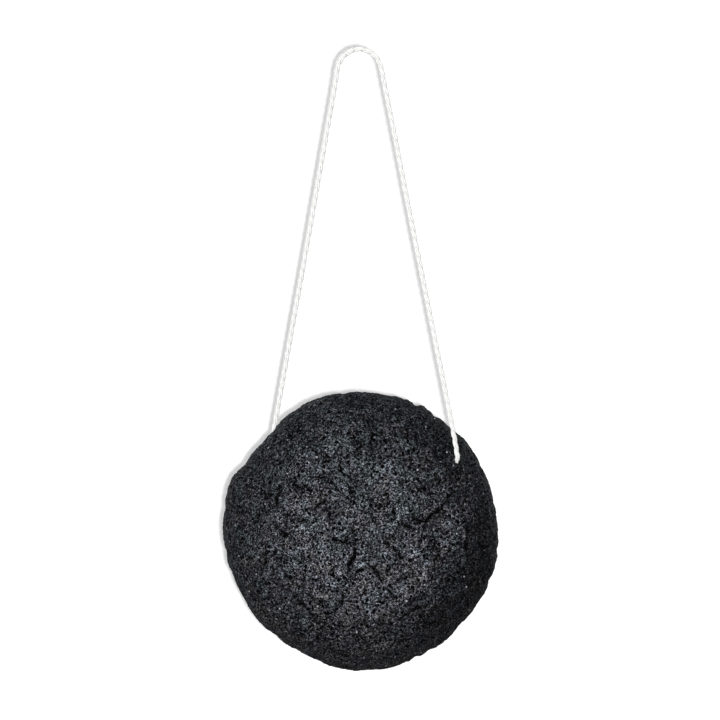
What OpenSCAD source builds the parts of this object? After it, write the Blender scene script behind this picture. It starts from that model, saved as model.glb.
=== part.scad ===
// Domed foam face sponge that hangs from a loop of twisted cotton string.
// Millimetres, +Z up. The origin is the underside of the loop's top, where a hook or peg
// carries it, and the domed face looks along -Y.

/* [Puff] */
// Diameter of the puff at its widest ring
puff_d = 80; // [76:1:86]
// How far the dome stands in front of the widest ring
dome_depth = 22; // [20:0.5:25]
// How far the flat back lies behind the widest ring
back_depth = 10; // [9:0.5:12]
// Diameter of the flat that the puff lies on
flat_d = 36; // [28:1:44]
// Fullness of the dome, where 2 is an ellipsoid and more is squarer
dome_fullness = 2.4; // [2.2:0.1:2.8]
// How far the puff's middle lies below the string's tunnel
tunnel_rise = 18.4; // [17.5:0.1:19.5]
// How far the puff's middle lies to the right of the hang point
puff_shift = 0.7; // [0.2:0.1:1.2]
// How far the puff's widest ring lies behind the hang point
puff_setback = 3.6; // [3.2:0.1:4]

/* [Relief] */
// Height of the foam's low lumps
lump_height = 0.4; // [0.2:0.1:0.6]
// Width of the creases pressed into the dome
fold_w = 2.4; // [1.8:0.1:3.2]
// Depth of the creases
fold_depth = 0.7; // [0.4:0.1:1]

/* [String] */
// Thickness of the twisted string
string_d = 1.5; // [1.2:0.1:1.7]
// Turn of the loop's plane, so that its right leg enters the dome and its left leg the back
loop_turn = 19.5; // [18.5:0.1:20.5]
// Radial room round the string inside the foam
string_room = 0.3; // [0.2:0.05:0.4]
// Radial room round the string in the two mouths, more than inside the foam
mouth_room = 0.5; // [0.45:0.05:0.7]
// How many wraps the hidden knot has
knot_wraps = 3; // [2:1:4]
// Middle of the knot along the tunnel, measured from under the hang point
knot_place = 6; // [4:0.5:7]

/* [Rocking] */
// How far the puff's foot can swing forward on the string, in degrees
rock_forward = 8; // [4:1:10]
// How far the puff's foot can swing back on the string, in degrees
rock_back = 12; // [8:1:16]

/* [Hidden] */

// Facets of round faces and of the lumpy puff, of the string's tube, of the spheres in its
// slots and of a crease
round_fn = 96;
puff_sides = 48;
string_sides = 8;
slot_fn = 16;
fold_fn = 12;
// Straight steps that draw the dome's curve and the back's rounded shoulder
dome_steps = 13;
back_steps = 6;
// Straight steps along a crease
fold_steps = 4;
// The shoulder of the back is a plain quarter ellipse
shoulder_fullness = 2;

puff_r = puff_d / 2;
flat_r = flat_d / 2;
string_r = string_d / 2;
bore_r = string_r + string_room;
mouth_r = string_r + mouth_room;

// The string's route in the loop's own plane, as [sideways, height], from the knot through
// the tunnel, round the front mouth, over the hook, round the back mouth and home again
route = [
    [8.4, -120], [18, -120], [24.5, -120], [26.8, -120],
    [28.5, -119.5], [29.6, -118.1], [29.9, -116.4],
    [29.6, -114.4], [28.9, -110.5], [26.9, -100.7], [23.6, -85], [19.5, -65.5],
    [15.4, -45.9], [11.8, -28.2], [7.9, -9.6],
    [6.9, -4.8], [5.7, -2.2], [3.3, -0.1], [0, 0.75], [-3.1, -0.1], [-5.4, -2.2], [-6.5, -4.9],
    [-7.3, -9.9], [-10.8, -28.5], [-14.1, -46.2], [-17.8, -65.9], [-21.6, -85.5],
    [-24.6, -101.2], [-26.6, -111.1], [-27.5, -114.5],
    [-27.9, -116.4], [-27.8, -118.2], [-26.8, -119.5], [-25.1, -120],
    [-22.8, -120], [-15, -120], [-6, -120], [3.6, -120]
];
// Rings drawn between two points of the route
ring_steps = 2;
// The route's points that lie in the mouth of the dome and in the mouth of the back
front_mouth = [3, 4, 5, 6, 7, 8];
back_mouth = [27, 28, 29, 30, 31, 32, 33];

tunnel_z = route[0][1];
knot_half = (route[0][0] - route[len(route) - 1][0]) / 2;
// Wraps lie a little closer than their thickness, as pulled string does
wrap_pitch = string_d * 0.9;
wrap_r = string_d * 0.6;
knot_r = wrap_r + string_r;

// Dents and swells of the rim: heading in degrees, 0 at the right and 90 on top, then height
// as a share of the puff's radius, then width in degrees
rim_shares = [
    [15, -0.019, 17], [50, -0.009, 6], [104, 0.01, 12], [138, -0.044, 13], [161, 0.0125, 6],
    [214, -0.021, 22], [242, -0.019, 7], [276, 0.009, 14], [345, 0.006, 10]
];
// Swollen and sunken places of the dome: middle sideways and up, then height, then width, all
// as shares of the puff's radius
pad_shares = [
    [0.42, 0.215, 0.02, 0.085], [-0.425, 0.02, 0.013, 0.09], [-0.16, -0.17, 0.01, 0.09],
    [0.12, -0.06, 0.01, 0.08], [0.61, 0.05, 0.009, 0.09], [-0.56, 0.42, 0.009, 0.1],
    [0.16, 0.29, 0.009, 0.085], [-0.04, -0.06, -0.026, 0.13], [0.31, 0.025, -0.011, 0.08],
    [-0.26, 0.26, -0.011, 0.105]
];
// Soft waves that make the low lumps: turns per puff radius along X, Y and Z, then degrees
wave_shares = [
    [2.1, 0.9, 0.6, 20], [-0.7, 1.2, 2.3, 110], [1.4, -1.6, 1.5, 200], [-1.9, 0.4, 1.6, 290],
    [0.3, 2.2, -1.1, 45], [2.3, -0.5, -1.2, 150], [0.9, 1, 2, 250], [-1.3, -1.4, 1.1, 330]
];
// The lumps fade between these two shares of the puff's radius, down to a share of their
// height, and the back's flat passes into them over a share of that radius
calm_start_share = 0.75;
calm_end_share = 0.97;
calm_share = 0.3;
flat_blend_share = 0.2;

// Creases of the dome: middle of each one sideways and up, as shares of the puff's radius,
// then its heading in degrees, then its length as a share of that radius
fold_shares = [
    [-0.043, -0.13, 68, 0.12], [-0.079, -0.241, 77, 0.14], [0.065, -0.221, -44, 0.18],
    [-0.152, -0.022, -10, 0.17], [-0.571, 0.04, -46, 0.14], [-0.44, 0.355, -20, 0.15],
    [-0.57, 0.255, 77, 0.17], [0.229, -0.102, -51, 0.24], [0.385, 0.11, -13, 0.17],
    [0.503, 0.131, 43, 0.17], [0.586, 0.22, 52, 0.18], [0.507, 0.003, -73, 0.18],
    [0.561, -0.167, -71, 0.21], [0.059, 0.705, -81, 0.2], [-0.014, 0.642, -55, 0.22],
    [-0.324, 0.56, -20, 0.2], [-0.182, -0.256, 62, 0.15], [0.759, 0.01, 86, 0.2],
    [0.745, -0.163, 84, 0.2], [0.21, -0.412, -40, 0.12], [0.278, -0.585, 23, 0.2],
    [0.432, -0.525, 17, 0.2], [-0.445, -0.487, -35, 0.18], [-0.323, -0.588, -43, 0.2],
    [-0.28, 0.388, -5, 0.16], [-0.109, 0.33, -46, 0.21], [0.188, 0.128, 7, 0.22],
    [-0.237, 0.134, -63, 0.14], [-0.42, 0.102, -14, 0.1], [-0.677, -0.15, 85, 0.17],
    [0.395, 0.672, -78, 0.15]
];

// Depth of a rounded form at radius r: the superellipse that falls from depth at radius
// from to nothing at radius to
function bulge(r, from, to, depth, fullness) =
    r <= from ? depth
    : depth * pow(max(0, 1 - pow((r - from) / (to - from), fullness)), 1 / fullness);
// Radius k of n steps, closer together towards the rim, where the curve is tightest
function step_r(k, n, from, to) = from + (to - from) * sin(90 * k / n);
function dome_y(x, z) = -bulge(norm([x, z]), 0, puff_r, dome_depth, dome_fullness);

// Total of a list of numbers
function total(list) = list * [for (item = list) 1];
// Share of a swell that is felt at a distance from its middle
function felt(away, width) = exp(-pow(away / width, 2));
// Rises from 0 at from to 1 at to
function ramp(x, from, to) = min(1, max(0, (x - from) / (to - from)));

// How far the rim stands out at heading turn
function rim_rise(turn) = puff_r * total([
    for (swell = rim_shares)
        let (away = (turn - swell[0] + 540) % 360 - 180)
        swell[1] * felt(away, swell[2])
]);
// How far the low lumps stand out at point p
function lump_rise(p) = lump_height / sqrt(len(wave_shares)) * total([
    for (wave = wave_shares)
        sin(360 * [wave[0], wave[1], wave[2]] * p / puff_r + wave[3])
]);
// How far the dome's swollen places stand out at point p
function pad_rise(p) = p[1] > 0 ? 0 : puff_r * total([
    for (pad = pad_shares)
        pad[2] * felt(norm([p[0], p[2]] / puff_r - [pad[0], pad[1]]), pad[3])
]);
// All of the relief at point p. It is calmer towards the rim and ends at the flat back
function relief(p) =
    let (share = norm([p[0], p[2]]) / puff_r)
    let (calm = ramp(share, calm_start_share, calm_end_share))
    let (off_flat = p[1] > 0 ? ramp(share - flat_r / puff_r, 0, flat_blend_share) : 1)
    off_flat * ((1 - (1 - calm_share) * calm) * lump_rise(p) + pad_rise(p));
// Straight out of the puff at point p, as for an ellipsoid of its depth there
function outward(p) =
    let (depth = p[1] > 0 ? back_depth : dome_depth)
    let (slope = [p[0] / puff_r / puff_r, p[1] / depth / depth, p[2] / puff_r / puff_r])
    slope / norm(slope);
// The lumpy skin's point that belongs to point p of the plain profile
function skin_point(p) =
    let (rim = rim_rise(atan2(p[2], p[0])) * pow(norm([p[0], p[2]]) / puff_r, 3))
    let (aside = norm([p[0], p[2]]))
    p + (aside > 0 ? rim * [p[0], 0, p[2]] / aside : [0, 0, 0]) + relief(p) * outward(p);

// The profile from beside the dome's middle, over the rim, to the edge of the flat back
profile = concat(
    [
        for (k = [1:dome_steps])
            let (r = step_r(k, dome_steps, 0, puff_r))
            [r, -bulge(r, 0, puff_r, dome_depth, dome_fullness)]
    ],
    [
        for (k = [back_steps - 1:-1:0])
            let (r = step_r(k, back_steps, flat_r, puff_r))
            [r, bulge(r, flat_r, puff_r, back_depth, shoulder_fullness)]
    ]);
function skin_corner(k, j) =
    let (turn = 360 * j / puff_sides)
    skin_point([profile[k][0] * cos(turn), profile[k][1], profile[k][0] * sin(turn)]);

// Where the puff's middle sits, with the dome looking along -Y
module on_puff() {
    translate([puff_shift, puff_setback, tunnel_z - tunnel_rise]) children();
}

// The loop's plane, with X along the tunnel
module in_loop() {
    rotate([0, 0, -loop_turn]) children();
}

// Turns its children about the tunnel's own line
module about_tunnel(turn) {
    translate([0, 0, tunnel_z]) rotate([turn, 0, 0]) translate([0, 0, -tunnel_z]) children();
}

// A spindle from a to b: thickest in the middle and drawn out to nothing at both ends
module spindle(a, b, r) {
    run = b - a;
    length = norm(run);
    translate(a)
        rotate([0, acos(run[2] / length), atan2(run[1], run[0])])
            rotate_extrude($fn = fold_fn)
                polygon([
                    for (k = [0:fold_steps])
                        [r * sin(180 * k / fold_steps), length * k / fold_steps]
                ]);
}

// The lumpy dome's point in front of a place sideways and up of its middle
function dome_point(x, z) = skin_point([x, dome_y(x, z), z]);

// A crease laid straight on the lumpy dome, as deep as it gets in its middle
module fold(share) {
    middle = [share[0], share[1]] * puff_r;
    along = share[3] * puff_r / 2 * [cos(share[2]), sin(share[2])];
    starts = dome_point(middle[0] - along[0], middle[1] - along[1]);
    stops = dome_point(middle[0] + along[0], middle[1] + along[1]);
    deepest = dome_point(middle[0], middle[1]) - [0, fold_w / 2 - fold_depth, 0];
    lift = deepest - (starts + stops) / 2;
    spindle(starts + lift, stops + lift, fold_w / 2);
}

// The plain puff with its lumps: rings of corners from the dome's middle to the flat back
module puff_form() {
    rings = len(profile);
    last = (rings - 1) * puff_sides + 1;
    polyhedron(
        points = concat(
            [skin_point([0, -dome_depth, 0])],
            [
                for (k = [0:rings - 1])
                    for (j = [0:puff_sides - 1])
                        skin_corner(k, j)
            ]),
        faces = concat(
            [for (j = [0:puff_sides - 1]) [0, 1 + (j + 1) % puff_sides, 1 + j]],
            [
                for (k = [0:rings - 2])
                    for (j = [0:puff_sides - 1])
                        for (half = [0, 1])
                            let (a = 1 + k * puff_sides + j)
                            let (b = 1 + k * puff_sides + (j + 1) % puff_sides)
                            half == 0 ? [a, b, b + puff_sides] : [a, b + puff_sides, a + puff_sides]
            ],
            [[for (j = [0:puff_sides - 1]) last + j]]),
        convexity = 10);
}

// The slot that one mouth needs, so that the string clears the foam over the whole rock
module mouth_slot(points) {
    in_loop()
        hull()
            for (i = points)
                for (turn = [-rock_back, 0, rock_forward])
                    about_tunnel(turn)
                        translate([route[i][0], 0, route[i][1]])
                            sphere(r = mouth_r, $fn = slot_fn);
}

module tunnel() {
    from = route[back_mouth[len(back_mouth) - 1]][0];
    to = route[front_mouth[0]][0];
    in_loop() {
        translate([from, 0, tunnel_z])
            rotate([0, 90, 0]) cylinder(h = to - from, r = bore_r, $fn = round_fn);
        translate([knot_place, 0, tunnel_z])
            rotate([0, 90, 0])
                cylinder(h = 2 * (knot_half + string_room), r = knot_r + string_room,
                    center = true, $fn = round_fn);
    }
}

// The foam puff: dome, rounded shoulder and flat back, creased, with the string's way through
module sponge() {
    color([0.16, 0.165, 0.18])
        difference() {
            on_puff() {
                difference() {
                    puff_form();
                    for (share = fold_shares)
                        fold(share);
                }
            }
            tunnel();
            mouth_slot(front_mouth);
            mouth_slot(back_mouth);
        }
}

// A point of a smooth curve through four neighbours, at share t between the middle two
function spline(a, b, c, d, t) =
    (2 * b + (c - a) * t + (2 * a - 5 * b + 4 * c - d) * t * t
        + (3 * b - a - 3 * c + d) * t * t * t) / 2;
function kept(i) = max(0, min(len(route) - 1, i));
function ring_middle(k) =
    let (i = min(floor(k / ring_steps), len(route) - 2))
    spline(route[kept(i - 1)], route[i], route[i + 1], route[kept(i + 2)],
        k / ring_steps - i);
ring_count = (len(route) - 1) * ring_steps + 1;
middles = [for (k = [0:ring_count - 1]) ring_middle(k)];
function heading(k) =
    let (run = middles[min(k + 1, ring_count - 1)] - middles[max(k - 1, 0)])
    run / norm(run);
// One corner of the tube: side j of ring k, where the sides run round the string's middle
function tube_corner(k, j) =
    let (t = heading(k))
    let (turn = 360 * j / string_sides)
    [middles[k][0] - string_r * cos(turn) * t[1], string_r * sin(turn),
        middles[k][1] + string_r * cos(turn) * t[0]];

// The string: one tube swept along its route, both ends face to face with the knot
module cord() {
    last = (ring_count - 1) * string_sides;
    color([0.96, 0.955, 0.94])
        in_loop()
            polyhedron(
                points = [
                    for (k = [0:ring_count - 1])
                        for (j = [0:string_sides - 1])
                            tube_corner(k, j)
                ],
                faces = concat(
                    [[for (j = [string_sides - 1:-1:0]) j]],
                    [[for (j = [0:string_sides - 1]) last + j]],
                    [
                        for (k = [0:ring_count - 2])
                            for (j = [0:string_sides - 1])
                                let (a = k * string_sides + j)
                                let (b = k * string_sides + (j + 1) % string_sides)
                                [a, b, b + string_sides, a + string_sides]
                    ]),
                convexity = 10);
}

// The knot that closes the loop, drawn as wraps round the joined ends, hidden in the tunnel
module cord_knot() {
    color([0.93, 0.92, 0.9])
        in_loop()
            translate([knot_place, 0, tunnel_z])
                rotate([0, 90, 0]) {
                    cylinder(h = 2 * knot_half, r = string_r, center = true, $fn = round_fn);
                    for (k = [0:knot_wraps - 1])
                        translate([0, 0, (k - (knot_wraps - 1) / 2) * wrap_pitch])
                            rotate_extrude($fn = round_fn)
                                translate([wrap_r, 0]) circle(r = string_r, $fn = round_fn / 2);
                }
}

sponge();
cord();
cord_knot();
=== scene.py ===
# %% [markdown]
# The object is a charcoal konjac sponge: a half-ball of black plant-fibre foam that hangs by a
# long loop of white twisted cotton string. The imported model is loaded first. It gives the two
# bodies that the pieces ride on, the loop and the puff, and the box that they have to fit.

# %% Load the frame
import math

import bpy
import numpy as np
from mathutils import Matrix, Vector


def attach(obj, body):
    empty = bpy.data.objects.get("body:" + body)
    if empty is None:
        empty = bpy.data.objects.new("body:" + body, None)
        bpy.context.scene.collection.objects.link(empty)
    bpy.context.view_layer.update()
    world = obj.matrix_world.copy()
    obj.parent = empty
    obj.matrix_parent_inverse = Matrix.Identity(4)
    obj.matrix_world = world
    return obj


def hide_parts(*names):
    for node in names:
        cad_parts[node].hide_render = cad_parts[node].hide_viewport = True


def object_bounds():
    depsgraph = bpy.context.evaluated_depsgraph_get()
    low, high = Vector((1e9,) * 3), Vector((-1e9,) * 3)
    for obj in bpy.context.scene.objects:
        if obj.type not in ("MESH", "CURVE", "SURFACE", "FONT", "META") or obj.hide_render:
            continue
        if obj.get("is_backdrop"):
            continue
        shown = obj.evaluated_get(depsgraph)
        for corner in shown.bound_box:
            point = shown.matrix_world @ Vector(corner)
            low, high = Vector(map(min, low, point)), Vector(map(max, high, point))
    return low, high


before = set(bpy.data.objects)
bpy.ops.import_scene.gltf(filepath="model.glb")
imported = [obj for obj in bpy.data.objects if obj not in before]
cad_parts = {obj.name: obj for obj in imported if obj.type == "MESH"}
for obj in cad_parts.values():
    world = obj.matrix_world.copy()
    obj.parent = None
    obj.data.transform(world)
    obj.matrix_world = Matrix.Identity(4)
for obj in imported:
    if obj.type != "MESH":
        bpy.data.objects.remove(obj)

MM = 0.001
cad_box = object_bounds()
print("CAD box in mm:", [[round(c / MM, 1) for c in corner] for corner in cad_box])

# %% [markdown]
# The picture is taken square on, from far away, because the string's two legs hardly converge
# towards the camera and the foam's rim shows all round. A long lens of 150 mm, level with the
# middle of the picture, gives that. Its place follows from the foam: 276 of the picture's 720
# pixels are its 80 mm, so the picture is 208.7 mm wide where the foam is widest.

# %% Camera
VIEW_WIDTH = 208.7 * MM
PUFF_MIDDLE = np.array([0.7, 3.6, -138.4]) * MM
# The middle of the picture, sideways and up
VIEW_MIDDLE = np.array([0.43, -88.97]) * MM
LENS = 150
SENSOR = 36
camera_back = VIEW_WIDTH * LENS / SENSOR


def clear_selection():
    """Leaves nothing selected, because an operator acts on all that is."""
    bpy.ops.object.select_all(action="DESELECT")


clear_selection()
bpy.ops.object.camera_add(
    location=(VIEW_MIDDLE[0], PUFF_MIDDLE[1] - camera_back, VIEW_MIDDLE[1]),
    rotation=(math.radians(90), 0, 0),
)
camera = bpy.context.object
camera.name = "camera"
camera.data.lens = LENS
camera.data.sensor_width = SENSOR
bpy.context.scene.camera = camera
print("camera stands", round(camera_back / MM), "mm in front of the foam's widest ring")

# %% [markdown]
# The string is one length of cotton, threaded through the foam and tied, so its route is a
# closed loop with a knot in it. The route is the same as in the CAD: points sideways and up in
# the loop's own plane, which is turned 19.5 degrees. A smooth curve through the points, the
# Catmull-Rom kind, bends like soft string, where straight pieces would show their corners.

# %% The string's route
LOOP_TURN = math.radians(19.5)
STRING_D = 1.5 * MM
TUNNEL_Z = -120 * MM
ROUTE = [
    (8.4, -120), (18, -120), (24.5, -120), (26.8, -120),
    (28.5, -119.5), (29.6, -118.1), (29.9, -116.4),
    (29.6, -114.4), (28.9, -110.5), (26.9, -100.7), (23.6, -85), (19.5, -65.5),
    (15.4, -45.9), (11.8, -28.2), (7.9, -9.6),
    (6.9, -4.8), (5.7, -2.2), (3.3, -0.1), (0, 0.75), (-3.1, -0.1), (-5.4, -2.2), (-6.5, -4.9),
    (-7.3, -9.9), (-10.8, -28.5), (-14.1, -46.2), (-17.8, -65.9), (-21.6, -85.5),
    (-24.6, -101.2), (-26.6, -111.1), (-27.5, -114.5),
    (-27.9, -116.4), (-27.8, -118.2), (-26.8, -119.5), (-25.1, -120),
    (-22.8, -120), (-15, -120), (-6, -120), (3.6, -120),
]
SIDEWAYS = np.array([math.cos(LOOP_TURN), -math.sin(LOOP_TURN), 0])
UP = np.array([0, 0, 1.0])


def smooth_line(points, spacing, fine_steps=40):
    """Catmull-Rom curve through the points, resampled to even steps of about spacing."""
    p = np.array(points, dtype=float)
    p = np.vstack([p[0], p, p[-1]])
    t = np.linspace(0, 1, fine_steps, endpoint=False)[:, None]
    runs = []
    for a, b, c, d in zip(p, p[1:], p[2:], p[3:]):
        bend = 2 * a - 5 * b + 4 * c - d
        runs.append((2 * b + (c - a) * t + bend * t**2 + (3 * b - a - 3 * c + d) * t**3) / 2)
    line = np.vstack([*runs, p[-1:]])
    along = np.concatenate([[0], np.cumsum(np.linalg.norm(np.diff(line, axis=0), axis=1))])
    even = np.linspace(0, along[-1], round(along[-1] / spacing) + 1)
    return np.column_stack([np.interp(even, along, line[:, k]) for k in range(line.shape[1])])


def in_loop_plane(points):
    """Turns [sideways, up] in the loop's plane into points of the frame."""
    return points[:, :1] * SIDEWAYS + points[:, 1:] * UP


SWEEP_STEP = 0.3 * MM
string_line = in_loop_plane(smooth_line(np.array(ROUTE) * MM, SWEEP_STEP))
string_length = np.linalg.norm(np.diff(string_line, axis=0), axis=1).sum()
print("string's route:", len(string_line), "points,", round(string_length / MM, 1), "mm")

# %% [markdown]
# Cotton string is laid from three yarns that wind round each other. A plain tube would lose
# the slanting marks that this leaves, so each yarn is swept on its own: a round section that
# runs along the route on a helix. The yarns lean like the middle of the letter S, and one turn
# takes about 8 mm, as the marks on the right leg show.

# %% A swept twisted string
# Radius of three equal yarns that just fill a round string, as a share of its thickness
YARN_SHARE = 0.232
YARNS = 3


def swept_yarns(line, thickness, lay, sides=10):
    """Mesh of three yarns laid along line: corners, faces, and for the UV map the share of the
    way round and the distance along."""
    step = np.gradient(line, axis=0)
    ahead = step / np.linalg.norm(step, axis=1)[:, None]
    along = np.concatenate([[0], np.cumsum(np.linalg.norm(np.diff(line, axis=0), axis=1))])
    turned = np.zeros_like(ahead)
    # Any direction that the line doesn't follow can start the frame that is carried along it
    turned[0] = np.cross(ahead[0], [0.3, 0.5, 0.81])
    turned[0] /= np.linalg.norm(turned[0])
    for k in range(1, len(ahead)):
        side = turned[k - 1] - ahead[k] * (turned[k - 1] @ ahead[k])
        turned[k] = side / np.linalg.norm(side)
    across = np.cross(ahead, turned)
    yarn_r = thickness * YARN_SHARE
    winding_r = thickness / 2 - yarn_r
    corners, faces, spots = [], [], []
    for yarn in range(YARNS):
        phase = -2 * math.pi * (along / lay + yarn / YARNS)
        middle = line + winding_r * (np.cos(phase)[:, None] * turned
                                     + np.sin(phase)[:, None] * across)
        start = len(corners) * len(line) * sides
        ring = np.arange(sides) * 2 * math.pi / sides
        turn = phase[:, None] + ring
        corners.append(middle[:, None] + yarn_r * (np.cos(turn)[..., None] * turned[:, None]
                                                   + np.sin(turn)[..., None] * across[:, None]))
        spots.append(np.stack(np.broadcast_arrays(ring / (2 * math.pi), along[:, None]), -1))
        for k in range(len(line) - 1):
            a = start + k * sides
            for j in range(sides):
                b = (j + 1) % sides
                faces.append((a + j, a + b, a + sides + b, a + sides + j))
        last = start + (len(line) - 1) * sides
        faces.append(tuple(range(start + sides - 1, start - 1, -1)))
        faces.append(tuple(range(last, last + sides)))
    corners = np.vstack([c.reshape(-1, 3) for c in corners])
    return corners, faces, np.vstack([s.reshape(-1, 2) for s in spots])


def mesh_piece(name, corners, faces, spots):
    """Object of that name from corners and faces, smooth, with a UV map of the spots."""
    mesh = bpy.data.meshes.new(name)
    mesh.from_pydata(corners.tolist(), [], faces)
    mesh.update()
    mesh.polygons.foreach_set("use_smooth", [True] * len(mesh.polygons))
    loops = np.empty(len(mesh.loops), dtype=int)
    mesh.loops.foreach_get("vertex_index", loops)
    spot = spots[loops].copy()
    for face in mesh.polygons:
        own = slice(face.loop_start, face.loop_start + face.loop_total)
        # A face across the seam gets its low ends moved up a whole turn
        if face.loop_total == 4 and np.ptp(spot[own, 0]) > 0.5:
            spot[own, 0] = np.where(spot[own, 0] < 0.5, spot[own, 0] + 1, spot[own, 0])
    layer = mesh.uv_layers.new(name="yarn")
    layer.data.foreach_set("uv", (spot * [1, 1 / MM]).ravel())
    piece = bpy.data.objects.new(name, mesh)
    bpy.context.scene.collection.objects.link(piece)
    return piece


LAY = 8 * MM
string = mesh_piece("cotton_string", *swept_yarns(string_line, STRING_D, LAY))
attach(string, "string_loop")
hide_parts("cord")
print("string:", len(string.data.polygons), "faces")

# %% [markdown]
# The knot that closes the loop was pulled into the foam, so it is only seen when the sponge is
# cut. It is made of the same string all the same: three tight wraps round the joined ends. A
# helix sampled as a line gives them, swept by the same function as the loop.

# %% The hidden knot
KNOT_PLACE = 6 * MM
WRAPS = 3
STEPS_PER_WRAP = 40
# Pulled tight, the wraps lie closer than their thickness, are a little thinner and twist more
wrap_pitch = STRING_D * 0.72
wrap_r = STRING_D * 0.62
wrap_d = STRING_D * 0.92
wrap_lay = LAY * 0.6
turn = np.linspace(0, 2 * math.pi * WRAPS, STEPS_PER_WRAP * WRAPS)
reach = KNOT_PLACE + (turn / (2 * math.pi) - WRAPS / 2) * wrap_pitch
forward = np.cross(SIDEWAYS, UP)
knot_line = (reach[:, None] * SIDEWAYS + TUNNEL_Z * UP
             + wrap_r * (np.cos(turn)[:, None] * UP + np.sin(turn)[:, None] * forward))
core_line = np.linspace(string_line[0], string_line[-1], 17)
wraps = swept_yarns(knot_line, wrap_d, wrap_lay)
core = swept_yarns(core_line, STRING_D, LAY)
knot = mesh_piece(
    "string_knot",
    np.vstack([wraps[0], core[0]]),
    wraps[1] + [tuple(i + len(wraps[0]) for i in face) for face in core[1]],
    np.vstack([wraps[2], core[2]]),
)
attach(knot, "string_loop")
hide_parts("cord_knot")
print("knot:", WRAPS, "wraps,", len(knot.data.polygons), "faces")

# %% [markdown]
# The foam puff is moulded as a half-ball: a dome in front, full like a bun, a rounded shoulder
# and a flat back. Drying has pulled it into low lumps, with swollen and sunken places, and its
# outline is a little uneven. This relief is the same as in the CAD: the rim's swells, the pads
# of the dome, and eight soft waves whose sum makes the lumps.

# %% The puff's relief
RADIUS = 40 * MM
DOME = 22 * MM
BACK = 10 * MM
FLAT_R = 18 * MM
# Swells of the rim: heading in degrees, 0 at the right and 90 on top, then height in mm, then
# width in degrees
RIM_SWELLS = [
    (15, -0.76, 17), (50, -0.36, 6), (104, 0.4, 12), (138, -1.76, 13), (161, 0.5, 6),
    (214, -0.84, 22), (242, -0.76, 7), (276, 0.36, 14), (345, 0.24, 10),
]
# Small nicks and bumps of the outline, in the same form
RIM_NICKS = [
    (118, -0.35, 3), (66.5, -0.6, 1.3), (57.5, -0.6, 1.3), (64, 0.3, 1.6), (339, -0.5, 1.5),
    (328, -0.4, 3.5), (317.5, -0.75, 6), (300, -0.5, 2), (293, -0.55, 2), (282, 0.4, 4),
    (251, -0.5, 3), (231, -0.6, 3), (198, -0.35, 4), (189.5, -0.6, 3), (171, -0.3, 2),
    (150, -0.65, 4), (131, -0.4, 1.5), (97, -0.3, 1.5), (29, -0.4, 1.5), (12, -0.35, 1.5),
    (352, -0.4, 1.5),
]
# Swollen and sunken places of the dome: middle sideways and up in mm, then height and width
PADS = [
    (16.8, 8.6, 0.8, 3.4), (-17, 0.8, 0.52, 3.6), (-6.4, -6.8, 0.4, 3.6), (4.8, -2.4, 0.4, 3.2),
    (24.4, 2, 0.36, 3.6), (-22.4, 16.8, 0.36, 4), (6.4, 11.6, 0.36, 3.4), (-1.6, -2.4, -1.04, 5.2),
    (12.4, 1, -0.44, 3.2), (-10.4, 10.4, -0.44, 4.2),
]
# Soft waves: turns per radius along X, Y and Z, then degrees
WAVES = [
    (2.1, 0.9, 0.6, 20), (-0.7, 1.2, 2.3, 110), (1.4, -1.6, 1.5, 200), (-1.9, 0.4, 1.6, 290),
    (0.3, 2.2, -1.1, 45), (2.3, -0.5, -1.2, 150), (0.9, 1, 2, 250), (-1.3, -1.4, 1.1, 330),
]
LUMP_HEIGHT = 0.4 * MM
# The lumps get this much lower towards the rim, from there on over this share of the radius
CALM_LOSS = 0.7
CALM_START = 0.75
CALM_RUN = 0.22
# The flat of the back passes into the lumps over this share of the radius
FLAT_BLEND = 0.2


def felt(away, width):
    """Share of a swell that is felt at a distance from its middle."""
    return np.exp(-(away / width) ** 2)


def rim_rise(local, swells):
    """How far the rim stands out at points round the puff's middle, in metres."""
    angle = np.degrees(np.arctan2(local[:, 2], local[:, 0]))
    rise = np.zeros(len(local))
    for heading, height, width in swells:
        rise += height * MM * felt((angle - heading + 180) % 360 - 180, width)
    return rise * (np.hypot(local[:, 0], local[:, 2]) / RADIUS) ** 3


def relief(local):
    """Height of the lumps and pads at points round the puff's middle, in metres."""
    share = np.hypot(local[:, 0], local[:, 2]) / RADIUS
    calm = 1 - CALM_LOSS * np.clip((share - CALM_START) / CALM_RUN, 0, 1)
    lumps = np.zeros(len(local))
    for *turns, degrees in WAVES:
        lumps += np.sin(2 * math.pi * (local @ turns) / RADIUS + math.radians(degrees))
    pads = np.zeros(len(local))
    for across, up, rise, width in PADS:
        pads += rise * MM * felt(
            np.hypot(local[:, 0] - across * MM, local[:, 2] - up * MM), width * MM)
    past_flat = np.clip((share - FLAT_R / RADIUS) / FLAT_BLEND, 0, 1)
    off_flat = np.where(local[:, 1] > 0, past_flat, 1)
    height = calm * lumps * LUMP_HEIGHT / math.sqrt(len(WAVES))
    return off_flat * (height + pads * (local[:, 1] <= 0))


def outward(local):
    """Straight out of the puff at points round its middle."""
    depth = np.where(local[:, 1] > 0, BACK, DOME)
    slope = np.column_stack([
        local[:, 0] / RADIUS**2, local[:, 1] / depth**2, local[:, 2] / RADIUS**2])
    return slope / np.linalg.norm(slope, axis=1)[:, None]


print("relief:", len(WAVES), "waves,", len(PADS), "pads,", len(RIM_SWELLS), "swells of the rim")

# %% [markdown]
# An ico sphere is the start of the puff, because its points are spread evenly and have no pole
# in the middle of the dome. Each point keeps its direction and moves to the puff's profile, and
# then stands out by the relief there.

# %% The puff's form
FULLNESS = 2.4
# The foam bulges a little where it grips the string's bend at the front: middle sideways and
# up from the puff's middle in mm, then height and width
GRIP = (25.8, 19.4, 1.0, 3.4)
GRIP_OUTWARD = np.array([0.5, -0.78, 0.37])

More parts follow.
